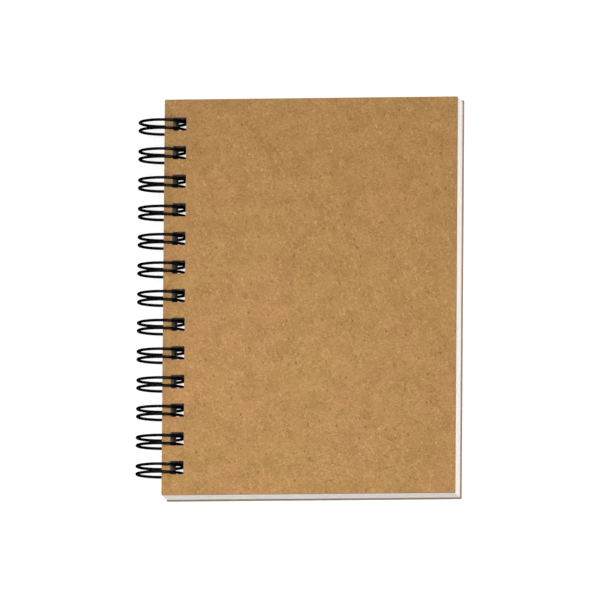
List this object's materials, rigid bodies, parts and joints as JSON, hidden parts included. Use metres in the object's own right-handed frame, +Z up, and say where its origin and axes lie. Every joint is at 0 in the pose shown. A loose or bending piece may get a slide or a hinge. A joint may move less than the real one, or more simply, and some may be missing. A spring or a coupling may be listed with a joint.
{
  "type": "sketchbook",
  "caption": "Closed sketchbook with kraft board covers and a block of drawing sheets that turn on a row of black twin-loop wire rings along the spine.",
  "frame": {"origin": "on the table, under the middle of the closed book's bounding box", "axes": "+X from the spine to the fore edge, +Y from the tail edge to the head edge, +Z up out of the table"},
  "size_m": [0.1434, 0.1768, 0.0221],
  "materials": {
    "cover_board": "uncoated brown kraft board with darker and lighter fibres",
    "drawing_paper": "uncoated white drawing paper with a light tooth",
    "wire_coating": "glossy black coating on steel wire"
  },
  "bodies": {
    "back_cover_and_wire": {"back_cover": "cover_board", "wire_loop_01": "wire_coating", "wire_loop_02": "wire_coating", "wire_loop_03": "wire_coating", "wire_loop_04": "wire_coating", "wire_loop_05": "wire_coating", "wire_loop_06": "wire_coating", "wire_loop_07": "wire_coating", "wire_loop_08": "wire_coating", "wire_loop_09": "wire_coating", "wire_loop_10": "wire_coating", "wire_loop_11": "wire_coating", "wire_loop_12": "wire_coating", "wire_loop_13": "wire_coating"},
    "sheet_01": {"sheet_01": "drawing_paper"},
    "sheet_02": {"sheet_02": "drawing_paper"},
    "sheet_03": {"sheet_03": "drawing_paper"},
    "sheet_04": {"sheet_04": "drawing_paper"},
    "sheet_05": {"sheet_05": "drawing_paper"},
    "sheet_06": {"sheet_06": "drawing_paper"},
    "sheet_07": {"sheet_07": "drawing_paper"},
    "sheet_08": {"sheet_08": "drawing_paper"},
    "sheet_09": {"sheet_09": "drawing_paper"},
    "sheet_10": {"sheet_10": "drawing_paper"},
    "sheet_11": {"sheet_11": "drawing_paper"},
    "sheet_12": {"sheet_12": "drawing_paper"},
    "sheet_13": {"sheet_13": "drawing_paper"},
    "sheet_14": {"sheet_14": "drawing_paper"},
    "sheet_15": {"sheet_15": "drawing_paper"},
    "sheet_16": {"sheet_16": "drawing_paper"},
    "sheet_17": {"sheet_17": "drawing_paper"},
    "sheet_18": {"sheet_18": "drawing_paper"},
    "sheet_19": {"sheet_19": "drawing_paper"},
    "sheet_20": {"sheet_20": "drawing_paper"},
    "sheet_21": {"sheet_21": "drawing_paper"},
    "sheet_22": {"sheet_22": "drawing_paper"},
    "sheet_23": {"sheet_23": "drawing_paper"},
    "sheet_24": {"sheet_24": "drawing_paper"},
    "sheet_25": {"sheet_25": "drawing_paper"},
    "sheet_26": {"sheet_26": "drawing_paper"},
    "sheet_27": {"sheet_27": "drawing_paper"},
    "sheet_28": {"sheet_28": "drawing_paper"},
    "sheet_29": {"sheet_29": "drawing_paper"},
    "sheet_30": {"sheet_30": "drawing_paper"},
    "sheet_31": {"sheet_31": "drawing_paper"},
    "sheet_32": {"sheet_32": "drawing_paper"},
    "sheet_33": {"sheet_33": "drawing_paper"},
    "sheet_34": {"sheet_34": "drawing_paper"},
    "sheet_35": {"sheet_35": "drawing_paper"},
    "sheet_36": {"sheet_36": "drawing_paper"},
    "sheet_37": {"sheet_37": "drawing_paper"},
    "sheet_38": {"sheet_38": "drawing_paper"},
    "sheet_39": {"sheet_39": "drawing_paper"},
    "sheet_40": {"sheet_40": "drawing_paper"},
    "sheet_41": {"sheet_41": "drawing_paper"},
    "sheet_42": {"sheet_42": "drawing_paper"},
    "sheet_43": {"sheet_43": "drawing_paper"},
    "sheet_44": {"sheet_44": "drawing_paper"},
    "sheet_45": {"sheet_45": "drawing_paper"},
    "front_cover": {"front_cover": "cover_board"}
  },
  "joints": [
    {"name": "sheet_45_turn", "type": "hinge", "parent": "back_cover_and_wire", "child": "sheet_45", "pos_m": [-0.06071, 0, 0.01105], "axis": [0, -1, 0], "range_deg": [0, 180]},
    {"name": "sheet_44_turn", "type": "hinge", "parent": "sheet_45", "child": "sheet_44", "pos_m": [-0.06071, 0, 0.01105], "axis": [0, -1, 0], "range_deg": [0, 180]},
    {"name": "sheet_43_turn", "type": "hinge", "parent": "sheet_44", "child": "sheet_43", "pos_m": [-0.06071, 0, 0.01105], "axis": [0, -1, 0], "range_deg": [0, 180]},
    {"name": "sheet_42_turn", "type": "hinge", "parent": "sheet_43", "child": "sheet_42", "pos_m": [-0.06071, 0, 0.01105], "axis": [0, -1, 0], "range_deg": [0, 180]},
    {"name": "sheet_41_turn", "type": "hinge", "parent": "sheet_42", "child": "sheet_41", "pos_m": [-0.06071, 0, 0.01105], "axis": [0, -1, 0], "range_deg": [0, 180]},
    {"name": "sheet_40_turn", "type": "hinge", "parent": "sheet_41", "child": "sheet_40", "pos_m": [-0.06071, 0, 0.01105], "axis": [0, -1, 0], "range_deg": [0, 180]},
    {"name": "sheet_39_turn", "type": "hinge", "parent": "sheet_40", "child": "sheet_39", "pos_m": [-0.06071, 0, 0.01105], "axis": [0, -1, 0], "range_deg": [0, 180]},
    {"name": "sheet_38_turn", "type": "hinge", "parent": "sheet_39", "child": "sheet_38", "pos_m": [-0.06071, 0, 0.01105], "axis": [0, -1, 0], "range_deg": [0, 180]},
    {"name": "sheet_37_turn", "type": "hinge", "parent": "sheet_38", "child": "sheet_37", "pos_m": [-0.06071, 0, 0.01105], "axis": [0, -1, 0], "range_deg": [0, 180]},
    {"name": "sheet_36_turn", "type": "hinge", "parent": "sheet_37", "child": "sheet_36", "pos_m": [-0.06071, 0, 0.01105], "axis": [0, -1, 0], "range_deg": [0, 180]},
    {"name": "sheet_35_turn", "type": "hinge", "parent": "sheet_36", "child": "sheet_35", "pos_m": [-0.06071, 0, 0.01105], "axis": [0, -1, 0], "range_deg": [0, 180]},
    {"name": "sheet_34_turn", "type": "hinge", "parent": "sheet_35", "child": "sheet_34", "pos_m": [-0.06071, 0, 0.01105], "axis": [0, -1, 0], "range_deg": [0, 180]},
    {"name": "sheet_33_turn", "type": "hinge", "parent": "sheet_34", "child": "sheet_33", "pos_m": [-0.06071, 0, 0.01105], "axis": [0, -1, 0], "range_deg": [0, 180]},
    {"name": "sheet_32_turn", "type": "hinge", "parent": "sheet_33", "child": "sheet_32", "pos_m": [-0.06071, 0, 0.01105], "axis": [0, -1, 0], "range_deg": [0, 180]},
    {"name": "sheet_31_turn", "type": "hinge", "parent": "sheet_32", "child": "sheet_31", "pos_m": [-0.06071, 0, 0.01105], "axis": [0, -1, 0], "range_deg": [0, 180]},
    {"name": "sheet_30_turn", "type": "hinge", "parent": "sheet_31", "child": "sheet_30", "pos_m": [-0.06071, 0, 0.01105], "axis": [0, -1, 0], "range_deg": [0, 180]},
    {"name": "sheet_29_turn", "type": "hinge", "parent": "sheet_30", "child": "sheet_29", "pos_m": [-0.06071, 0, 0.01105], "axis": [0, -1, 0], "range_deg": [0, 180]},
    {"name": "sheet_28_turn", "type": "hinge", "parent": "sheet_29", "child": "sheet_28", "pos_m": [-0.06071, 0, 0.01105], "axis": [0, -1, 0], "range_deg": [0, 180]},
    {"name": "sheet_27_turn", "type": "hinge", "parent": "sheet_28", "child": "sheet_27", "pos_m": [-0.06071, 0, 0.01105], "axis": [0, -1, 0], "range_deg": [0, 180]},
    {"name": "sheet_26_turn", "type": "hinge", "parent": "sheet_27", "child": "sheet_26", "pos_m": [-0.06071, 0, 0.01105], "axis": [0, -1, 0], "range_deg": [0, 180]},
    {"name": "sheet_25_turn", "type": "hinge", "parent": "sheet_26", "child": "sheet_25", "pos_m": [-0.06071, 0, 0.01105], "axis": [0, -1, 0], "range_deg": [0, 180]},
    {"name": "sheet_24_turn", "type": "hinge", "parent": "sheet_25", "child": "sheet_24", "pos_m": [-0.06071, 0, 0.01105], "axis": [0, -1, 0], "range_deg": [0, 180]},
    {"name": "sheet_23_turn", "type": "hinge", "parent": "sheet_24", "child": "sheet_23", "pos_m": [-0.06071, 0, 0.01105], "axis": [0, -1, 0], "range_deg": [0, 180]},
    {"name": "sheet_22_turn", "type": "hinge", "parent": "sheet_23", "child": "sheet_22", "pos_m": [-0.06071, 0, 0.01105], "axis": [0, -1, 0], "range_deg": [0, 180]},
    {"name": "sheet_21_turn", "type": "hinge", "parent": "sheet_22", "child": "sheet_21", "pos_m": [-0.06071, 0, 0.01105], "axis": [0, -1, 0], "range_deg": [0, 180]},
    {"name": "sheet_20_turn", "type": "hinge", "parent": "sheet_21", "child": "sheet_20", "pos_m": [-0.06071, 0, 0.01105], "axis": [0, -1, 0], "range_deg": [0, 180]},
    {"name": "sheet_19_turn", "type": "hinge", "parent": "sheet_20", "child": "sheet_19", "pos_m": [-0.06071, 0, 0.01105], "axis": [0, -1, 0], "range_deg": [0, 180]},
    {"name": "sheet_18_turn", "type": "hinge", "parent": "sheet_19", "child": "sheet_18", "pos_m": [-0.06071, 0, 0.01105], "axis": [0, -1, 0], "range_deg": [0, 180]},
    {"name": "sheet_17_turn", "type": "hinge", "parent": "sheet_18", "child": "sheet_17", "pos_m": [-0.06071, 0, 0.01105], "axis": [0, -1, 0], "range_deg": [0, 180]},
    {"name": "sheet_16_turn", "type": "hinge", "parent": "sheet_17", "child": "sheet_16", "pos_m": [-0.06071, 0, 0.01105], "axis": [0, -1, 0], "range_deg": [0, 180]},
    {"name": "sheet_15_turn", "type": "hinge", "parent": "sheet_16", "child": "sheet_15", "pos_m": [-0.06071, 0, 0.01105], "axis": [0, -1, 0], "range_deg": [0, 180]},
    {"name": "sheet_14_turn", "type": "hinge", "parent": "sheet_15", "child": "sheet_14", "pos_m": [-0.06071, 0, 0.01105], "axis": [0, -1, 0], "range_deg": [0, 180]},
    {"name": "sheet_13_turn", "type": "hinge", "parent": "sheet_14", "child": "sheet_13", "pos_m": [-0.06071, 0, 0.01105], "axis": [0, -1, 0], "range_deg": [0, 180]},
    {"name": "sheet_12_turn", "type": "hinge", "parent": "sheet_13", "child": "sheet_12", "pos_m": [-0.06071, 0, 0.01105], "axis": [0, -1, 0], "range_deg": [0, 180]},
    {"name": "sheet_11_turn", "type": "hinge", "parent": "sheet_12", "child": "sheet_11", "pos_m": [-0.06071, 0, 0.01105], "axis": [0, -1, 0], "range_deg": [0, 180]},
    {"name": "sheet_10_turn", "type": "hinge", "parent": "sheet_11", "child": "sheet_10", "pos_m": [-0.06071, 0, 0.01105], "axis": [0, -1, 0], "range_deg": [0, 180]},
    {"name": "sheet_09_turn", "type": "hinge", "parent": "sheet_10", "child": "sheet_09", "pos_m": [-0.06071, 0, 0.01105], "axis": [0, -1, 0], "range_deg": [0, 180]},
    {"name": "sheet_08_turn", "type": "hinge", "parent": "sheet_09", "child": "sheet_08", "pos_m": [-0.06071, 0, 0.01105], "axis": [0, -1, 0], "range_deg": [0, 180]},
    {"name": "sheet_07_turn", "type": "hinge", "parent": "sheet_08", "child": "sheet_07", "pos_m": [-0.06071, 0, 0.01105], "axis": [0, -1, 0], "range_deg": [0, 180]},
    {"name": "sheet_06_turn", "type": "hinge", "parent": "sheet_07", "child": "sheet_06", "pos_m": [-0.06071, 0, 0.01105], "axis": [0, -1, 0], "range_deg": [0, 180]},
    {"name": "sheet_05_turn", "type": "hinge", "parent": "sheet_06", "child": "sheet_05", "pos_m": [-0.06071, 0, 0.01105], "axis": [0, -1, 0], "range_deg": [0, 180]},
    {"name": "sheet_04_turn", "type": "hinge", "parent": "sheet_05", "child": "sheet_04", "pos_m": [-0.06071, 0, 0.01105], "axis": [0, -1, 0], "range_deg": [0, 180]},
    {"name": "sheet_03_turn", "type": "hinge", "parent": "sheet_04", "child": "sheet_03", "pos_m": [-0.06071, 0, 0.01105], "axis": [0, -1, 0], "range_deg": [0, 180]},
    {"name": "sheet_02_turn", "type": "hinge", "parent": "sheet_03", "child": "sheet_02", "pos_m": [-0.06071, 0, 0.01105], "axis": [0, -1, 0], "range_deg": [0, 180]},
    {"name": "sheet_01_turn", "type": "hinge", "parent": "sheet_02", "child": "sheet_01", "pos_m": [-0.06071, 0, 0.01105], "axis": [0, -1, 0], "range_deg": [0, 180]},
    {"name": "front_cover_turn", "type": "hinge", "parent": "sheet_01", "child": "front_cover", "pos_m": [-0.06071, 0, 0.01105], "axis": [0, -1, 0], "range_deg": [0, 182]}
  ]
}
